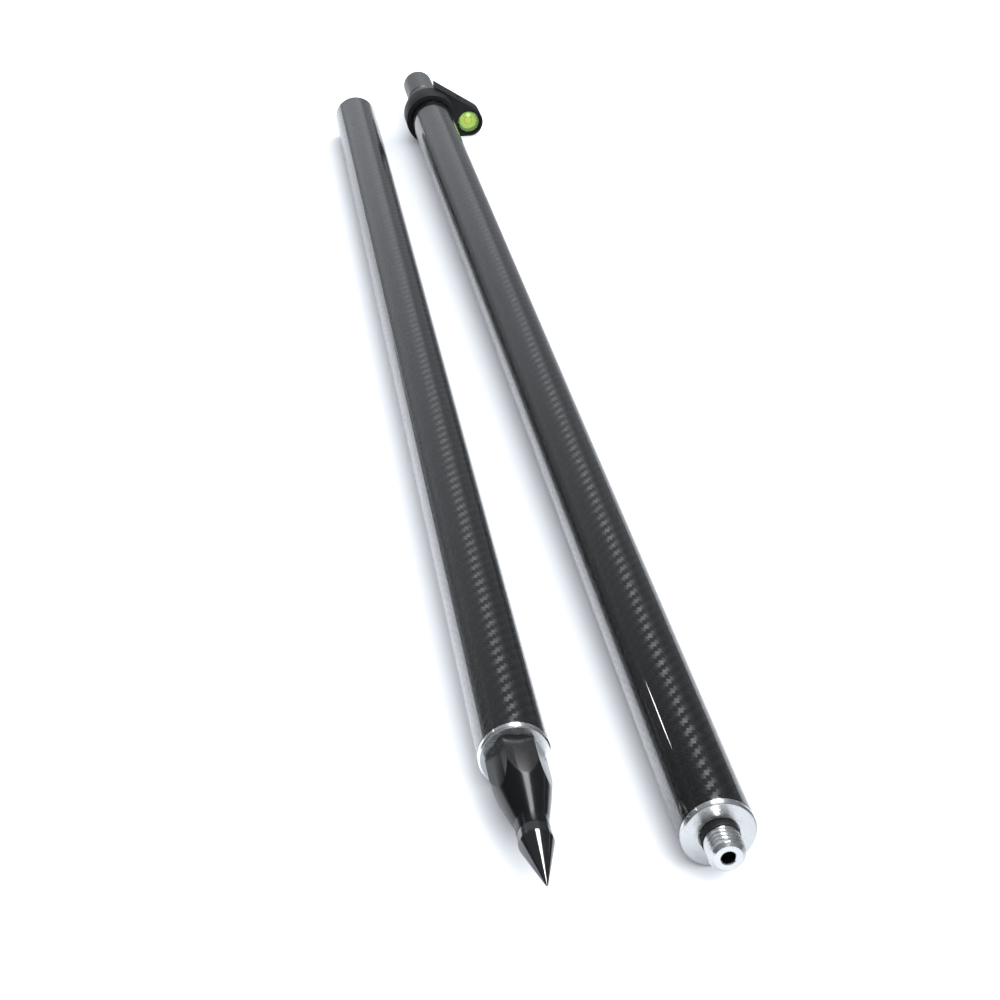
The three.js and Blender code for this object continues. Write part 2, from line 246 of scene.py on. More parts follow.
def thread(radius, z_low, z_high, pitch, depth):
    """The depth of a right-hand thread's groove, running out at both ends. Where a chamfer has
    already taken some of that depth, only the rest is left."""
    root_flat = 0.2
    crest_flat = 0.12
    run_out_length = 0.4 * pitch

    def cut(angle, at_radius, z):
        taken = radius - at_radius
        if taken < -1e-3 or taken > depth:
            return 0
        run_out = min(1, max(0, min(z - z_low, z_high - z) / run_out_length))
        phase = (z / pitch - angle / TURN) % 1
        from_root = abs(2 * phase - 1)
        groove = (1 - crest_flat - from_root) / (1 - crest_flat - root_flat)
        return max(0, depth * run_out * min(1, max(0, groove)) - taken)

    return cut


# -------------------- materials


class Finish:
    """A procedural material: a Principled shader, and calls that build the nodes before it."""

    def __init__(self, name, **sockets):
        self.material = bpy.data.materials.new(name)
        self.material.use_nodes = True
        self.tree = self.material.node_tree
        self.shader = self.tree.nodes["Principled BSDF"]
        for socket, value in sockets.items():
            self.shader.inputs[socket.replace("_", " ")].default_value = value
        place = self.node("TexCoord").outputs["Object"]
        self.place = self.node("VectorMath", {0: place, 3: 1 / MM}, operation="SCALE").outputs[0]
        parts = self.node("SeparateXYZ", {0: self.place})
        self.x, self.y, self.z = parts.outputs
        radius_squared = self.math("ADD", self.squared(self.x), self.squared(self.y))
        self.radius = self.math("SQRT", radius_squared)

    def node(self, kind, inputs=None, **settings):
        node = self.tree.nodes.new("ShaderNode" + kind)
        for name, value in settings.items():
            setattr(node, name, value)
        for key, value in (inputs or {}).items():
            self.feed(node.inputs[key], value)
        return node

    def feed(self, socket, value):
        if isinstance(value, bpy.types.NodeSocket):
            self.tree.links.new(value, socket)
        else:
            socket.default_value = value

    def set(self, socket, value):
        self.feed(self.shader.inputs[socket], value)

    def math(self, operation, a, b=0.0, c=0.0):
        return self.node("Math", {0: a, 1: b, 2: c}, operation=operation).outputs[0]

    def squared(self, a):
        return self.math("MULTIPLY", a, a)

    def mixed(self, factor, a, b):
        """A colour between a and b."""
        return self.node("Mix", {0: factor, 6: a, 7: b}, data_type="RGBA").outputs[2]

    def ranged(self, value, low, high, to_low, to_high):
        inputs = {0: value, 1: low, 2: high, 3: to_low, 4: to_high}
        return self.node("MapRange", inputs).outputs[0]

    def joined(self, x, y, z):
        return self.node("CombineXYZ", {0: x, 1: y, 2: z}).outputs[0]

    def noise(self, vector, scale, detail=2.0, roughness=0.5):
        inputs = {"Vector": vector, "Scale": scale, "Detail": detail, "Roughness": roughness}
        return self.node("TexNoise", inputs).outputs[0]

    def bump(self, height, depth):
        """Depth in millimetres between heights 0 and 1."""
        inputs = {"Height": height, "Distance": depth * MM, "Strength": 1.0}
        self.set("Normal", self.node("Bump", inputs).outputs[0])

    def turning_marks(self, spacing, depth):
        """Fine rings left by the lathe, over flat faces and round sides alike."""
        marks = self.noise(self.joined(self.radius, self.z, 0.0), 1 / spacing, 3.0, 0.7)
        self.bump(marks, depth)
        return marks

    def brushed_round(self):
        """Highlights spread across the turning marks, from the axis outwards."""
        self.set("Tangent", self.node("Tangent", direction_type="RADIAL", axis="Z").outputs[0])
        self.shader.inputs["Anisotropic Rotation"].default_value = 0.25


def shade(level, tint=(1, 1, 1)):
    return (level * tint[0], level * tint[1], level * tint[2], 1.0)


COOL = (0.93, 0.99, 1.06)
NEUTRAL = (0.98, 1.0, 1.0)


def carbon_finish():
    """Twill-woven carbon tows under a thick clear lacquer."""
    carbon = Finish(
        "carbon_twill", Metallic=0.9, Anisotropic=0.8, Coat_Weight=1.0, Coat_Roughness=0.02)
    tow = TURN * TUBE_RADIUS / TOWS_AROUND
    angle = carbon.math("ARCTAN2", carbon.y, carbon.x)
    around = carbon.math("MULTIPLY", angle, TOWS_AROUND / TURN)
    along = carbon.math("MULTIPLY", carbon.z, 1 / tow)
    column = carbon.math("FLOOR", around)
    row = carbon.math("FLOOR", along)
    step = carbon.math("FLOORED_MODULO", carbon.math("SUBTRACT", column, row), 4.0)
    hoop_on_top = carbon.math("LESS_THAN", step, 2.0)

    # Each tow is rounded across its width.
    def crown(position):
        centred = carbon.math("MULTIPLY_ADD", carbon.math("FRACT", position), 2.0, -1.0)
        return carbon.math("SUBTRACT", 1.0, carbon.squared(centred))

    across_hoop = crown(along)
    across_axial = crown(around)
    crowns = carbon.math("SUBTRACT", across_hoop, across_axial)
    height = carbon.math("MULTIPLY_ADD", crowns, hoop_on_top, across_axial)
    carbon.bump(height, 0.05)

    # Fibres run along each tow, so a hoop tow's streaks run around the tube.
    stretched_around = carbon.joined(
        carbon.math("MULTIPLY", around, 0.35), carbon.math("MULTIPLY", along, 9.0), 0.0)
    stretched_along = carbon.joined(
        carbon.math("MULTIPLY", around, 9.0), carbon.math("MULTIPLY", along, 0.35), 5.0)
    # Painted light: hoop and axial tows are the same fibre, but hoop tows are painted lighter, as
    # the sheen they catch from the lamp overhead, and axial tows darker, as shade. The twill
    # pattern itself is real.
    hoop_painted_sheen = carbon.mixed(carbon.noise(stretched_around, 1.0, 3.0), shade(0.006), shade(0.045))
    axial_painted_shade = carbon.mixed(carbon.noise(stretched_along, 1.0, 3.0), shade(0.002), shade(0.006))
    woven = carbon.mixed(hoop_on_top, axial_painted_shade, hoop_painted_sheen)

    # No two crossings lie quite alike.
    crossing = carbon.joined(column, row, 0.0)
    chance = carbon.node("TexWhiteNoise", {"Vector": crossing}).outputs["Value"]
    darkening = carbon.ranged(chance, 0.0, 1.0, 0.0, 0.5)
    carbon.set("Base Color", carbon.mixed(darkening, woven, shade(0.002)))
    patches = carbon.noise(carbon.joined(around, along, 0.0), 1.0)
    carbon.set("Roughness", carbon.ranged(patches, 0.3, 0.7, 0.3, 0.42))
    carbon.set("Tangent", carbon.node("Tangent", direction_type="RADIAL", axis="Z").outputs[0])
    carbon.set("Anisotropic Rotation", carbon.math("MULTIPLY", hoop_on_top, 0.25))
    return carbon.material


def aluminium_finish():
    """Bright aluminium with the lathe's fine rings, and painted dark in the stud's hole as the
    shade in that recess.
    """
    metal = Finish("turned_aluminium", Metallic=1.0, Anisotropic=0.7)
    marks = metal.turning_marks(0.22, 0.004)
    metal.brushed_round()
    smudges = metal.noise(metal.place, 0.25, 3.0)
    bright = metal.mixed(marks, shade(0.84, NEUTRAL), shade(0.94, NEUTRAL))
    # Painted shade: inside the stud's hole the colour goes nearly black, as the shade in the
    # recess.
    painted_hole_shade = metal.math("LESS_THAN", metal.radius, STUD_HOLE_RADIUS + 0.05)
    metal.set("Base Color", metal.mixed(painted_hole_shade, bright, shade(0.1, NEUTRAL)))
    metal.set("Roughness", metal.ranged(smudges, 0.3, 0.7, 0.2, 0.3))
    return metal.material


def anodised_finish(name, dark, light, rough, shine):
    """Anodised aluminium: a slightly uneven satin skin over fine turning marks."""
    skin = Finish(name, Specular_IOR_Level=shine)
    marks = skin.turning_marks(0.3, 0.0003)
    clouds = skin.noise(skin.place, 0.35, 4.0)
    skin.set("Base Color", skin.mixed(clouds, dark, light))
    skin.set("Roughness", skin.ranged(marks, 0.3, 0.7, rough - 0.04, rough + 0.05))
    return skin.material


def black_steel_finish():
    """Hardened steel, ground and blacked: nearly a mirror."""
    steel = Finish("blacked_steel", Specular_IOR_Level=0.9, IOR=1.7)
    marks = steel.turning_marks(0.12, 0.0008)
    wear = steel.noise(steel.place, 0.5, 3.0)
    steel.set("Base Color", steel.mixed(marks, shade(0.003, COOL), shade(0.007, COOL)))
    steel.set("Roughness", steel.ranged(wear, 0.35, 0.7, 0.07, 0.13))
    return steel.material


def rubber_finish():
    rubber = Finish("black_rubber", Specular_IOR_Level=0.35)
    grain = rubber.noise(rubber.place, 6.0, 4.0)
    rubber.bump(grain, 0.01)
    rubber.set("Base Color", rubber.mixed(grain, shade(0.004), shade(0.011)))
    rubber.set("Roughness", rubber.ranged(grain, 0.3, 0.7, 0.5, 0.7))
    return rubber.material


def bracket_finish():
    """Matte black moulded plastic with a fine spark-eroded texture."""
    plastic = Finish("bracket_plastic", Specular_IOR_Level=0.3)
    grain = plastic.noise(plastic.place, 3.5, 5.0, 0.6)
    clouds = plastic.noise(plastic.place, 0.12, 3.0)
    plastic.bump(grain, 0.03)
    plastic.set("Base Color", plastic.mixed(clouds, shade(0.003, COOL), shade(0.006, COOL)))
    plastic.set("Roughness", plastic.ranged(grain, 0.3, 0.7, 0.45, 0.6))
    return plastic.material


def screw_finish():
    steel = Finish("blacked_screw", Metallic=0.9)
    marks = steel.turning_marks(0.15, 0.002)
    steel.set("Base Color", steel.mixed(marks, shade(0.03), shade(0.07)))
    steel.set("Roughness", steel.ranged(marks, 0.3, 0.7, 0.28, 0.38))
    return steel.material


def nylon_finish():
    nylon = Finish("nylon", Subsurface_Weight=0.3)
    grain = nylon.noise(nylon.place, 2.0, 3.0)
    nylon.set("Base Color", nylon.mixed(grain, (0.78, 0.77, 0.7, 1), (0.86, 0.85, 0.8, 1)))
    nylon.set("Roughness", nylon.ranged(grain, 0.3, 0.7, 0.45, 0.55))
    return nylon.material


def clear_finish():
    """Acrylic, nearly see-through, with the green of the fluid it holds painted into its colour, as
    the light that shows through it.
    """
    clear = Finish("clear_acrylic", Alpha=0.2, IOR=1.49)
    haze = clear.noise(clear.place, 0.8, 2.0)
    # Painted light: the clear wall is given the green of the fluid that shows through it.
    clear.set("Base Color", clear.mixed(haze, (0.4, 0.66, 0.16, 1), (0.46, 0.74, 0.2, 1)))
    clear.set("Roughness", clear.ranged(haze, 0.3, 0.7, 0.02, 0.05))
    return clear.material


def fluid_finish():
    """Dyed spirit, yellow-green, with a painted glow: it emits its own colour though it is no lamp.
    It is a little darker and bluer towards its rim.
    """
    fluid = Finish("green_spirit", Roughness=0.08, Specular_IOR_Level=0.1, Emission_Strength=0.3)
    rim = fluid.ranged(fluid.radius, 3.5, 7.6, 0.0, 1.0)
    colour = fluid.mixed(rim, (0.46, 0.46, 0.03, 1), (0.19, 0.34, 0.09, 1))
    fluid.set("Base Color", colour)
    # Painted glow: the spirit emits its own colour, though it is no lamp.
    fluid.set("Emission Color", colour)
    return fluid.material


def bubble_finish():
    bubble = Finish("bubble", Roughness=0.05, Emission_Strength=0.3)
    # Painted light: the bubble glows though it is no lamp, and is painted lighter in its middle
    # than at its rim, as a highlight.
    rim = bubble.ranged(bubble.radius, 1.0, 2.0, 0.0, 1.0)
    colour = bubble.mixed(rim, (0.75, 0.92, 0.42, 1), (0.45, 0.68, 0.14, 1))
    bubble.set("Base Color", colour)
    bubble.set("Emission Color", colour)
    return bubble.material


def pale_finish():
    pale = Finish("pale_base", Specular_IOR_Level=0.3)
    grain = pale.noise(pale.place, 2.0, 3.0)
    pale.set("Base Color", pale.mixed(grain, (0.8, 0.84, 0.76, 1), (0.88, 0.91, 0.84, 1)))
    pale.set("Roughness", pale.ranged(grain, 0.3, 0.7, 0.5, 0.65))
    return pale.material


def mark_finish():
    mark = Finish("printed_mark", Specular_IOR_Level=0.3)
    grain = mark.noise(mark.place, 5.0, 2.0)
    mark.set("Base Color", mark.mixed(grain, shade(0.01), shade(0.02)))
    mark.set("Roughness", mark.ranged(grain, 0.3, 0.7, 0.5, 0.6))
    return mark.material


CARBON = carbon_finish()
ALUMINIUM = aluminium_finish()
BLACK_ANODISED = anodised_finish(
    "black_anodised", shade(0.003, COOL), shade(0.007, COOL), rough=0.2, shine=0.25)
GREY_ANODISED = anodised_finish(
    "grey_anodised", shade(0.045), shade(0.065), rough=0.38, shine=0.6)
BLACK_STEEL = black_steel_finish()
RUBBER = rubber_finish()
BRACKET = bracket_finish()
SCREW = screw_finish()
NYLON = nylon_finish()
CLEAR = clear_finish()
FLUID = fluid_finish()
BUBBLE = bubble_finish()
PALE = pale_finish()
MARK = mark_finish()

# -------------------- tubes and ferrules


def add_tube(node, place, body):
    far, near = place.span(node)
    bevel = LAMINATE_BEVEL
    profile = [
        (TUBE_BORE, far, bevel),
        (TUBE_RADIUS, far, bevel),
        (TUBE_RADIUS, near, bevel),
        (TUBE_BORE, near, bevel),
    ]
    piece = turned_piece(node + "_lacquered", place, profile, sides=192)
    add_piece(piece, CARBON, body, "carbon", node)


def add_ferrule(node, place, body, bore, ring):
    """Plug, flange with a bevelled rim, and the recess in its face for a rubber ring."""
    plug_end = place.span(node)[0]
    bevel = 0.7
    recess_radius = place.radius(ring) + GAP
    recess_floor = place.span(ring)[0] - GAP
    profile = [
        (bore, plug_end),
        (PLUG_RADIUS, plug_end, 0.8),
        (PLUG_RADIUS, -FLANGE_THICK),
        (TUBE_RADIUS, -FLANGE_THICK, 0.2),
        (TUBE_RADIUS, -bevel, 0.12),
        (TUBE_RADIUS - bevel, 0, 0.12),
        (recess_radius, 0, 0.15),
        (recess_radius, recess_floor, 0.15),
        (bore, recess_floor),
    ]
    piece = turned_piece(node + "_turned", place, profile, sides=160)
    add_piece(piece, ALUMINIUM, body, "bright_aluminium", node)


def add_round_ring(node, place, body):
    """A rubber ring of the round section that fills the node's span."""
    low, high = place.span(node)
    section = (high - low) / 2
    centre_radius = place.radius(node) - section
    profile = round_ring(centre_radius, section, (low + high) / 2)
    piece = new_object(node + "_round", *turned(profile, 96), place)
    add_piece(piece, RUBBER, body, "rubber", node, crease=60)


def add_stud_ring():
    """A thick rubber ring that stands up from the flange."""
    low, high = upper.span("top_seal_ring")
    inner = STUD_GROOVE_RADIUS + GAP
    outer = upper.radius("top_seal_ring")
    profile = [(inner, low, 0.4), (outer, low, 0.7), (outer, high, 0.9), (inner, high, 0.4)]
    piece = turned_piece("top_seal_ring_moulded", upper, profile, sides=96)
    add_piece(piece, RUBBER, "upper_section", "rubber", "top_seal_ring")


# -------------------- point


def point_hexagon():
    """Inscribed radius of the hexagon, its corner radius, and the angle of one corner."""
    near_back = [point for point in lower.points("point_body") if 0 < point.z < 10]
    corner = max(near_back, key=lambda point: math.hypot(point.x, point.y))
    corner_radius = math.hypot(corner.x, corner.y)
    return corner_radius * math.cos(TURN / 12), corner_radius, math.atan2(corner.y, corner.x)


def add_point_body():
    """Hexagon whose flats run out in the cone, and behind it the threaded shank."""
    flat_radius, corner_radius, corner_angle = point_hexagon()
    shank_end, tip_start = lower.span("point_body")
    neck_start = tip_start - NECK_LENGTH
    cone_start = neck_start - CONE_LENGTH
    back = GAP
    back_chamfer_radius = flat_radius + 0.35
    sides = 240
    edge = 0.14  # half the width of the worn edge where a flat runs out
    neck_edge = 0.12
    cone_steps = 12
    groove_end = lower.span("point_seal_ring")[0] - GAP

    def hexagon(turn):
        """Reach of the flats, measured from a corner."""
        from_flat = (turn + TURN / 12) % (TURN / 6)
        return flat_radius / math.cos(abs(from_flat - TURN / 12) - TURN / 12)

    def cone(z):
        share = (z - cone_start) / CONE_LENGTH
        return corner_radius - (corner_radius - NECK_RADIUS) * share ** CONE_SWELL

    def run_out(reach):
        share = (corner_radius - reach) / (corner_radius - NECK_RADIUS)
        return cone_start + CONE_LENGTH * share ** (1 / CONE_SWELL)

    columns = []
    for side in range(sides):
        reach = hexagon(TURN * side / sides)
        chamfer = max(0.0, reach - back_chamfer_radius)
        flat_end = run_out(reach) - edge
        cone_from = run_out(reach) + edge
        cone_to = neck_start - neck_edge
        column = [
            (min(reach, back_chamfer_radius), back),
            (reach, back + 0.02 + chamfer * 1.2),
            (reach, flat_end),
        ]
        for step in range(cone_steps + 1):
            z = cone_from + (cone_to - cone_from) * step / cone_steps
            column.append((cone(z), z))
        column += [
            (NECK_RADIUS, neck_start + neck_edge),
            (NECK_RADIUS, tip_start - 0.15),
            (NECK_RADIUS - 0.15, tip_start),
        ]
        columns.append(column)
    rows = [[column[row] for column in columns] for row in range(len(columns[0]))]

    shank = [(POINT_GROOVE_RADIUS, back), (POINT_GROOVE_RADIUS, groove_end)]
    shank += levels(POINT_SHANK_RADIUS, groove_end, shank_end + 1.2, INSTRUMENT_PITCH)
    shank += [(POINT_SHANK_RADIUS - 1.1, shank_end)]
    thread_end = shank_end + 0.4
    cut = thread(POINT_SHANK_RADIUS, thread_end, groove_end, INSTRUMENT_PITCH, INSTRUMENT_DEPTH)
    for radius, z in shank:
        turns = [corner_angle + TURN * side / sides for side in range(sides)]
        rows.insert(0, [(radius - cut(turn, radius, z), z) for turn in turns])

    vertices = []
    for row in rows:
        for side, (radius, z) in enumerate(row):
            turn = corner_angle + TURN * side / sides
            vertices.append((radius * math.cos(turn), radius * math.sin(turn), z))
    faces = []
    for row in range(len(rows) - 1):
        for side in range(sides):
            beside = (side + 1) % sides
            faces.append([row * sides + side, row * sides + beside,
                          (row + 1) * sides + beside, (row + 1) * sides + side])
    last = (len(rows) - 1) * sides
    faces.append(list(range(sides)))
    faces.append(list(range(last, last + sides)))
    piece = new_object("point_body_machined", vertices, faces, lower)
    add_piece(piece, BLACK_ANODISED, "point", "black_anodised", "point_body", crease=9)


def add_point_tip():
    shank_end, end = lower.span("point_tip")
    start = lower.span("point_body")[1] + GAP
    rim = start + TIP_RISE
    rim_radius = lower.radius("point_tip")
    shank_radius = 3.0
    profile = [
        (0, shank_end),
        (shank_radius, shank_end, 0.4),
        (shank_radius, start),
        (NECK_RADIUS, start, 0.15),
        (rim_radius, rim, 0.25),
        (0.55, end - 0.55, 0.3),
        (0.3, end - 0.12),
        (0, end),
    ]
    piece = turned_piece("point_tip_ground", lower, profile, sides=128)
    add_piece(piece, BLACK_STEEL, "point", "black_steel", "point_tip", crease=20)


# -------------------- stud at the top of the pole


def add_top_stud():
    stud_radius = upper.radius("top_stud")
    shank_end, end = upper.span("top_stud")
    ring_low, ring_high = upper.span("top_seal_ring")
    groove_end = ring_high + GAP
    chamfer = 2.0
    chamfer_steps = 16
    hole_depth = 12.0
    hole_floor = end - hole_depth
    profile = [
        (0, shank_end),
        (STUD_SHANK_RADIUS, shank_end),
        (STUD_SHANK_RADIUS, ring_low),
        (STUD_GROOVE_RADIUS, ring_low),
        (STUD_GROOVE_RADIUS, groove_end),
        *levels(stud_radius, groove_end, end - chamfer, INSTRUMENT_PITCH),
    ]
    for step in range(1, chamfer_steps):
        taken = chamfer * step / chamfer_steps
        profile.append((stud_radius - taken, end - chamfer + taken))
    profile += [
        (stud_radius - chamfer, end, 0.1),
        (STUD_HOLE_RADIUS + 0.45, end),
        (STUD_HOLE_RADIUS, end - 0.45, 0.1),
        (STUD_HOLE_RADIUS, hole_floor),
        (0, hole_floor - 1.6),
    ]
    cut = thread(stud_radius, groove_end - 0.2, end + 2, INSTRUMENT_PITCH, INSTRUMENT_DEPTH)
    piece = turned_piece("top_stud_threaded", upper, profile, sides=120, cut=cut)
    add_piece(piece, ALUMINIUM, "upper_section", "bright_aluminium", "top_stud", crease=40)


# -------------------- joint between the sections


def add_joint_socket():
    mouth, inner_end = lower.span("joint_socket")
    guide_bore = 12.2
    thread_bore = 12.8
    ring_bore = 13.4
    ring_floor = mouth + 3
    thread_end = mouth + 18
    profile = [
        (ring_bore, mouth, 0.2),
        (lower.radius("joint_socket"), mouth, 0.3),
        (lower.radius("joint_socket"), inner_end),
        (guide_bore, inner_end, 0.3),
        (guide_bore, thread_end),
        *levels(thread_bore, thread_end, ring_floor, JOINT_PITCH),
        (ring_bore, ring_floor),
    ]
    cut = thread(thread_bore, ring_floor - 0.3, thread_end, JOINT_PITCH, JOINT_DEPTH / 3)
    piece = turned_piece("joint_socket_threaded", lower, profile, sides=120, cut=cut)
    add_piece(piece, ALUMINIUM, "lower_section", "bright_aluminium", "joint_socket", crease=40)


def add_joint_spigot():
    free_end, plug_end = upper.span("joint_spigot")
    ring_low, ring_high = upper.span("joint_seal_ring")
    shoulder = ring_high + GAP
    spigot_radius = 11.8
    thread_radius = 12.4
    thread_length = 14
    groove_radius = upper.radius("joint_seal_ring") - (ring_high - ring_low) - GAP
    groove_end = ring_low - GAP
    thread_start = groove_end - thread_length
    bore = 8.0
    chamfer = 2.0
    profile = [
        (bore, free_end, 0.4),
        (spigot_radius - chamfer, free_end, 0.3),
        (spigot_radius, free_end + chamfer, 0.5),
        (spigot_radius, thread_start - 2.2, 0.2),
        (spigot_radius - 0.7, thread_start - 1.6, 0.2),
        (spigot_radius - 0.7, thread_start, 0.1),
        *levels(thread_radius, thread_start, groove_end, JOINT_PITCH),
        (groove_radius, groove_end),
        (groove_radius, shoulder),
        (TUBE_RADIUS, shoulder, 0.4),
        (TUBE_RADIUS, shoulder + FLANGE_THICK, 0.2),
        (PLUG_RADIUS, shoulder + FLANGE_THICK),
        (PLUG_RADIUS, plug_end, 0.8),
        (bore, plug_end),
    ]
    cut = thread(thread_radius, thread_start - 0.3, groove_end, JOINT_PITCH, JOINT_DEPTH)
    piece = turned_piece("joint_spigot_threaded", upper, profile, sides=120, cut=cut)
    add_piece(piece, GREY_ANODISED, "upper_section", "grey_anodised", "joint_spigot", crease=40)


# -------------------- level bracket


def solid_join(target, tool, operation):
    """Joins or cuts target with tool, which is then removed."""
    modifier = target.modifiers.new("join", "BOOLEAN")
    modifier.operation = operation
    modifier.solver = "EXACT"
    modifier.object = tool
    apply_modifiers(target)
    bpy.data.objects.remove(tool)


def apply_modifiers(piece):
    bpy.context.view_layer.update()
    evaluated = piece.evaluated_get(bpy.context.evaluated_depsgraph_get())
    piece.data = bpy.data.meshes.new_from_object(evaluated)
    piece.modifiers.clear()


def rod(radius, z_low, z_high, place, sides=96):
    vertices, faces = turned([(0, z_low), (radius, z_low), (radius, z_high), (0, z_high)], sides)
    return new_object("tool", vertices, faces, place)


def arm_outline(corner, boss, boss_radius, floor):
    """From a corner above the tube the arm slopes down round the boss to a flat underside."""
    to_boss = boss - corner
    lean = math.asin(boss_radius / to_boss.length)
    reach = math.sqrt(to_boss.length_squared - boss_radius ** 2)
    direction = math.atan2(to_boss.y, to_boss.x) + lean
    slope = corner + Vector((math.cos(direction), math.sin(direction))) * reach
    last = math.atan2(slope.y - boss.y, slope.x - boss.x)
    steps = 40
    outline = [Vector((corner.x, floor))]
    for step in range(steps + 1):
        turn = -math.pi / 2 + (last + math.pi / 2) * step / steps
        outline.append(boss + Vector((math.cos(turn), math.sin(turn))) * boss_radius)
    outline.append(corner)
    return outline


def add_level_bracket():
    """A moulded block: collar and arm in one, bored for the tube, the vial's cup and the screws."""
    arm_rear, collar_front = upper.span("level_bracket")
    arm_front = collar_front - ARM_SETBACK
    boss = Vector(upper.centre("vial_cup"))
    outline = arm_outline(ARM_CORNER, boss, boss.y + COLLAR_RADIUS, -COLLAR_RADIUS)
    count = len(outline)
    vertices = [(point.x, point.y, z) for z in (arm_rear, arm_front) for point in outline]
    faces = [list(range(count)), list(range(2 * count - 1, count - 1, -1))]
    faces += [[i, i + count, (i + 1) % count + count, (i + 1) % count] for i in range(count)]
    arm = new_object("arm", vertices, faces, upper)
    finish_mesh(arm, 30)
    bracket = rod(COLLAR_RADIUS, collar_front - COLLAR_LENGTH, collar_front, upper, 128)
    bracket.name = "level_bracket_moulded"
    solid_join(bracket, arm, "UNION")

    cup_low = upper.span("vial_cushion")[0] - GAP
    pocket_radius = vial.radius("vial_cup") + GAP
    screw_hole = ADJUST_SCREW_RADIUS + GAP
    bores = [
        rod(TUBE_RADIUS + GAP, arm_rear - 1, collar_front + 1, upper, 128),
        rod(pocket_radius, cup_low, arm_front + 1, vial),
        rod(grip.radius("grip_screw") + GAP, 0, 2 * COLLAR_RADIUS, grip, 48),
    ]
    for name in ADJUST_SCREWS:
        axis = upper.shifted(*upper.centre(name))
        bores.append(rod(screw_hole, arm_rear - 1, cup_low + 1, axis, 32))
    for bore in bores:
        solid_join(bracket, bore, "DIFFERENCE")

    round_over = bracket.modifiers.new("round_over", "BEVEL")
    round_over.width = 0.55 * MM
    round_over.segments = 3
    round_over.limit_method = "ANGLE"
    round_over.angle_limit = math.radians(35)
    apply_modifiers(bracket)
    add_piece(bracket, BRACKET, "level_arm", "bracket_black", "level_bracket", crease=35)


# -------------------- grip screw


def add_grip_parts():
    pad_low, pad_high = grip.span("grip_pad")
    screw_low, screw_high = grip.span("grip_screw")
    radius = grip.radius("grip_screw")
    key_radius = 1.0
    key_depth = 2.5
    pad = [(0, pad_low), (radius, pad_low, 0.3), (radius, pad_high, 0.2), (0, pad_high)]
    piece = turned_piece("grip_pad_moulded", grip, pad, sides=48)
    add_piece(piece, NYLON, "grip_pad", "nylon", "grip_pad")

    screw_pitch = 0.7
    profile = [
        (0, screw_low),
        (radius - 0.4, screw_low),
        *levels(radius, screw_low + 0.4, screw_high - 0.3, screw_pitch),
        (radius - 0.3, screw_high),
        (key_radius, screw_high),
        (key_radius, screw_high - key_depth),
        (0, screw_high - key_depth - 0.3),
    ]
    groove = thread(radius, screw_low + 0.3, screw_high - 0.2, screw_pitch, 0.35)

    def cut(angle, at_radius, z):
        if at_radius != key_radius:
            return groove(angle, at_radius, z)
        from_flat = abs(angle % (TURN / 6) - TURN / 12)
        return key_radius - 0.87 * key_radius / math.cos(from_flat)

    piece = turned_piece("grip_screw_threaded", grip, profile, sides=72, cut=cut)
    add_piece(piece, SCREW, "grip_screw", "screw_steel", "grip_screw", crease=25)


# -------------------- vial


def add_vial_cup():
    cup_low, cup_high = vial.span("vial_cup")
    cup_radius = vial.radius("vial_cup")
    cup_floor = cup_low + 1.7
    cup_wall = 0.8
    screw_hole = ADJUST_SCREW_RADIUS + GAP
    cup = [
        (0, cup_low),
        (cup_radius, cup_low, 0.3),
        (cup_radius, cup_high, 0.25),
        (cup_radius - cup_wall, cup_high, 0.25),
        (cup_radius - cup_wall, cup_floor, 0.2),
        (0, cup_floor),
    ]
    piece = turned_piece("vial_cup_turned", vial, cup, sides=128)
    for name in ADJUST_SCREWS:
        axis = upper.shifted(*upper.centre(name))
        solid_join(piece, rod(screw_hole, cup_low - 1, cup_floor + 1, axis, 32), "DIFFERENCE")
    add_piece(piece, BLACK_ANODISED, "vial", "black_anodised", "vial_cup")


def add_vial_body():
    """A clear cup, upside down, with a slightly domed window."""
    vial_low, vial_high = vial.span("vial_body")
    vial_radius = vial.radius("vial_body")
    wall = 1.1
    window = 1.6
    inner = vial_radius - wall
    bevel = 0.35
    dome_rise = 0.3
    ceiling_rise = 0.5
    dome_steps = 8
    shell = [(inner, vial_low), (vial_radius, vial_low, 0.2), (vial_radius, vial_high - bevel, 0.2)]
    for step in range(dome_steps + 1):
        share = 1 - step / dome_steps
        shell.append(((vial_radius - bevel) * share, vial_high - dome_rise * share * share))
    for step in range(dome_steps + 1):
        share = step / dome_steps
        shell.append((inner * share, vial_high - window - ceiling_rise * share * share))
    piece = turned_piece("vial_body_clear", vial, shell, sides=128)
    add_piece(piece, CLEAR, "vial", "vial_clear", "vial_body", crease=40)


def add_vial_fluid():
    low, high = vial.span("vial_fluid")
    radius = vial.radius("vial_fluid")
    profile = [(0, low), (radius, low, 0.3), (radius, high, 0.6), (0, high)]
    piece = turned_piece("vial_spirit", vial, profile, sides=96)
    add_piece(piece, FLUID, "vial", "vial_fluid", "vial_fluid")


def add_vial_centre_ring():
    """The printed circle in which the bubble rests when the pole stands upright."""
    middle_radius = 3.2
    half_width = 0.2
    low = vial.span("vial_fluid")[1] + 0.02
    high = low + 0.12
    inner = middle_radius - half_width
    outer = middle_radius + half_width
    profile = [(inner, low), (outer, low), (outer, high), (inner, high)]
    piece = turned_piece("vial_centre_ring", vial, profile, sides=96)
    add_piece(piece, MARK, "vial", "black_anodised")


def add_vial_base():
    low, high = vial.span("vial_base")
    radius = vial.radius("vial_base")
    profile = [(0, low), (radius, low, 0.2), (radius, high, 0.2), (0, high)]
    piece = turned_piece("vial_base_moulded", vial, profile, sides=96)
    add_piece(piece, PALE, "vial", "vial_base", "vial_base")


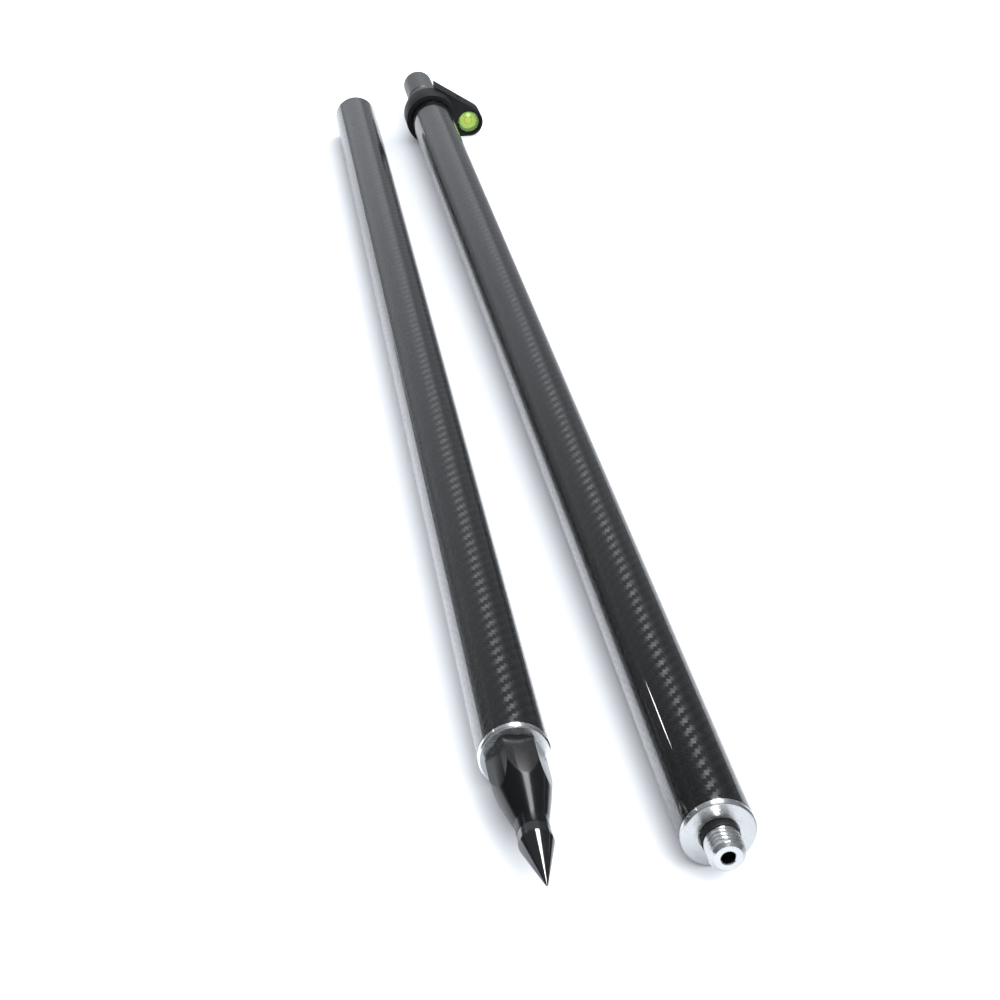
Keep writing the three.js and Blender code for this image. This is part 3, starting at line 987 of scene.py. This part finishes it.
def add_vial_cushion():
    low, high = vial.span("vial_cushion")
    inner = 7.4
    outer = vial.radius("vial_cushion")
    profile = [(inner, low, 0.3), (outer, low, 0.3), (outer, high, 0.3), (inner, high, 0.3)]
    piece = turned_piece("vial_cushion_soft", vial, profile, sides=96)
    add_piece(piece, RUBBER, "level_arm", "rubber", "vial_cushion")


def add_bubble():
    place = upper.shifted(*upper.centre("vial_bubble"))
    low, high = place.span("vial_bubble")
    radius = place.radius("vial_bubble")
    middle = (low + high) / 2
    half = (high - low) / 2
    steps = 16
    profile = []
    for step in range(steps + 1):
        turn = math.pi * (step / steps - 0.5)
        profile.append((radius * math.cos(turn), middle + half * math.sin(turn)))
    piece = new_object("vial_bubble_round", *turned(profile, 64), place)
    add_piece(piece, BUBBLE, "bubble", "vial_bubble", "vial_bubble", crease=70)


def add_adjust_screws():
    """Cross-headed screws behind the arm, on which the cup is levelled."""
    for name in ADJUST_SCREWS:
        place = upper.shifted(*upper.centre(name))
        head_top, tip = place.span(name)
        head_radius = place.radius(name)
        head_seat = head_top + 1.6
        pitch = 0.5
        profile = [
            (0, head_top),
            (head_radius, head_top, 0.5),
            (head_radius, head_seat, 0.1),
            (ADJUST_SCREW_RADIUS, head_seat),
            *levels(ADJUST_SCREW_RADIUS, head_seat + 0.2, tip - 0.4, pitch),
            (ADJUST_SCREW_RADIUS - 0.4, tip),
            (0, tip),
        ]
        cut = thread(ADJUST_SCREW_RADIUS, head_seat + 0.2, tip - 0.3, pitch, 0.25)
        piece = turned_piece(name + "_threaded", place, profile, sides=48, cut=cut)
        for turn in (0, math.pi / 2):
            slot = box_tool(2.2, 0.45, head_top - 0.5, head_top + 0.9, turn, place)
            solid_join(piece, slot, "DIFFERENCE")
        add_piece(piece, SCREW, name, "screw_steel", name)


def box_tool(length, width, z_low, z_high, turn, place):
    """A block about the axis, for cutting one slot of a cross-shaped recess."""
    along = Vector((math.cos(turn), math.sin(turn), 0)) * length / 2
    across = Vector((-math.sin(turn), math.cos(turn), 0)) * width / 2
    corners = [along + across, across - along, -along - across, along - across]
    vertices = [corner + Vector((0, 0, z)) for z in (z_low, z_high) for corner in corners]
    faces = [[3, 2, 1, 0], [4, 5, 6, 7]]
    faces += [[i, (i + 1) % 4, (i + 1) % 4 + 4, i + 4] for i in range(4)]
    return new_object("tool", vertices, faces, place)


# -------------------- assembly

add_tube("lower_tube", lower, "lower_section")
add_tube("upper_tube", upper, "upper_section")
add_ferrule("point_ferrule", lower, "lower_section", POINT_SHANK_RADIUS + 0.4, "point_seal_ring")
add_ferrule("top_ferrule", upper, "upper_section", STUD_SHANK_RADIUS + GAP, "top_seal_ring")
add_round_ring("point_seal_ring", lower, "point_seal")
add_round_ring("joint_seal_ring", upper, "joint_seal")
add_stud_ring()
add_point_body()
add_point_tip()
add_top_stud()
add_joint_socket()
add_joint_spigot()
add_level_bracket()
add_grip_parts()
add_vial_cup()
add_vial_body()
add_vial_fluid()
add_vial_centre_ring()
add_vial_base()
add_vial_cushion()
add_bubble()
add_adjust_screws()

# -------------------- floor, light and camera


def add_floor():
    """A large white sheet, evenly white to the eye. In reflections its colour is painted light and
    shade: bright only across a table's width, painted dark beyond it to stand for a dark room, and
    there painted dimmer towards the far end, dimmer on the right than on the left, and dimmer again
    in front of the poles."""
    reach = 30.0
    mesh = bpy.data.meshes.new("floor")
    corners = [(-reach, -reach, 0), (reach, -reach, 0), (reach, reach, 0), (-reach, reach, 0)]
    mesh.from_pydata(corners, [], [(0, 1, 2, 3)])
    floor = bpy.data.objects.new("floor", mesh)
    bpy.context.scene.collection.objects.link(floor)
    white = Finish("white_floor", Roughness=0.4, Specular_IOR_Level=0.25)
    grain = white.noise(white.place, 0.02, 2.0)
    pale = white.mixed(grain, shade(0.90), shade(0.92))

    # In millimetres. Beyond widening_start the table widens with the square of the distance.
    table_middle = 17.5
    near_half_width = 172.0
    widening_start = -100.0
    widening = 0.00032
    far = white.math("MAXIMUM", white.math("SUBTRACT", white.y, widening_start), 0.0)
    half_width = white.math("MULTIPLY_ADD", white.squared(far), widening, near_half_width)
    from_middle = white.math("ABSOLUTE", white.math("SUBTRACT", white.x, table_middle))
    beyond = white.math("SUBTRACT", from_middle, half_width)
    # Painted shade: beyond the table's width the floor is painted dark in reflections, as a dark
    # room.
    table = white.ranged(beyond, 0.0, 25.0, 1.0, 0.13)
    right = white.ranged(white.x, 35.0, 90.0, 0.0, 1.0)
    left_level = white.ranged(white.y, -400.0, 300.0, 1.0, 0.62)
    right_level = white.ranged(white.y, -400.0, 300.0, 0.45, 0.15)
    sides = {0: right, 2: left_level, 3: right_level}
    painted_side_shade = white.node("Mix", sides, data_type="FLOAT").outputs[0]
    painted_front_shade = white.ranged(white.y, -510.0, -440.0, 0.48, 1.0)
    level = white.math("MULTIPLY", table, white.math("MULTIPLY", painted_side_shade, painted_front_shade))
    # Painted light and shade: seen by glossy rays only, the floor's colour is scaled by this level,
    # up to brighter than its own white.
    painted_reflection_light = white.mixed(level, shade(0.0), shade(1.1))
    mirrored = white.node("LightPath").outputs["Is Glossy Ray"]
    white.set("Base Color", white.mixed(mirrored, pale, painted_reflection_light))
    mesh.materials.append(white.material)


def add_soft_box(name, location, target, width, length, radiance):
    """A rectangular lamp whose face has the given brightness. Only glossy surfaces show it."""
    light = bpy.data.lights.new(name, "AREA")
    light.shape = "RECTANGLE"
    light.size = width
    light.size_y = length
    light.energy = radiance * math.pi * width * length
    lamp = bpy.data.objects.new(name, light)
    lamp.visible_diffuse = False
    lamp.location = location
    lamp.rotation_euler = (Vector(target) - Vector(location)).to_track_quat("-Z", "Y").to_euler()
    bpy.context.scene.collection.objects.link(lamp)


def add_room():
    """Soft white fill for matt surfaces, strongest from the right. To mirror reflections it is a
    dim room, brightest low beyond the poles' two ends, and darker to the left and the right."""
    room = bpy.data.worlds.new("room")
    bpy.context.scene.world = room
    room.use_nodes = True
    tree = room.node_tree
    tree.nodes.clear()

    def node(kind, inputs=None, **settings):
        made = tree.nodes.new("ShaderNode" + kind)
        for name, value in settings.items():
            setattr(made, name, value)
        for key, value in (inputs or {}).items():
            if isinstance(value, bpy.types.NodeSocket):
                tree.links.new(value, made.inputs[key])
            else:
                made.inputs[key].default_value = value
        return made.outputs

    def ranged(value, low, high, to_low, to_high):
        return node("MapRange", {0: value, 1: low, 2: high, 3: to_low, 4: to_high})[0]

    def product(a, b):
        return node("Math", {0: a, 1: b}, operation="MULTIPLY")[0]

    direction = node("TexCoord")["Generated"]
    x, y, z = node("SeparateXYZ", {0: direction})
    along = node("Math", {0: y}, operation="ABSOLUTE")[0]
    lean = node("Math", {0: x, 1: z}, operation="ARCTAN2")[0]
    ends = ranged(along, 0.78, 0.95, 0.15, 0.63)
    left = ranged(lean, math.radians(-95), math.radians(-62), 0.25, 1.0)
    right = ranged(lean, math.radians(32), math.radians(48), 1.0, 0.45)
    level = product(ends, product(left, right))
    path = node("LightPath")
    fill = ranged(x, -1.0, 1.0, (1 - FILL_LEAN) * FILL, (1 + FILL_LEAN) * FILL)
    seen = node("Mix", {0: path["Is Glossy Ray"], 2: fill, 3: level}, data_type="FLOAT")[0]
    background = node("Background", {"Color": (0.94, 0.98, 1.05, 1.0), "Strength": seen})
    node("OutputWorld", {"Surface": background[0]})


add_floor()
add_room()

# A long lamp above the poles, and a small one far away whose streak shows in the lacquer.
add_soft_box("overhead", (0.25, 0.1, 1.7), (0.25, -0.2, 0.0), 0.6, 2.2, 14.0)
add_soft_box("far_lamp", (-5.04, 7.54, 3.28), (0.0, -0.45, 0.0), 0.3, 0.26, 25.0)

camera = bpy.data.objects.new("camera", bpy.data.cameras.new("camera"))
camera.data.sensor_width = 36.0
camera.data.lens = 75.06
camera.location = (-0.14952, -1.18091, 0.52747)
camera.rotation_euler = (math.radians(62.346), 0, math.radians(-7.76))
bpy.context.scene.collection.objects.link(camera)
bpy.context.scene.camera = camera
bpy.context.scene.view_settings.view_transform = "Standard"
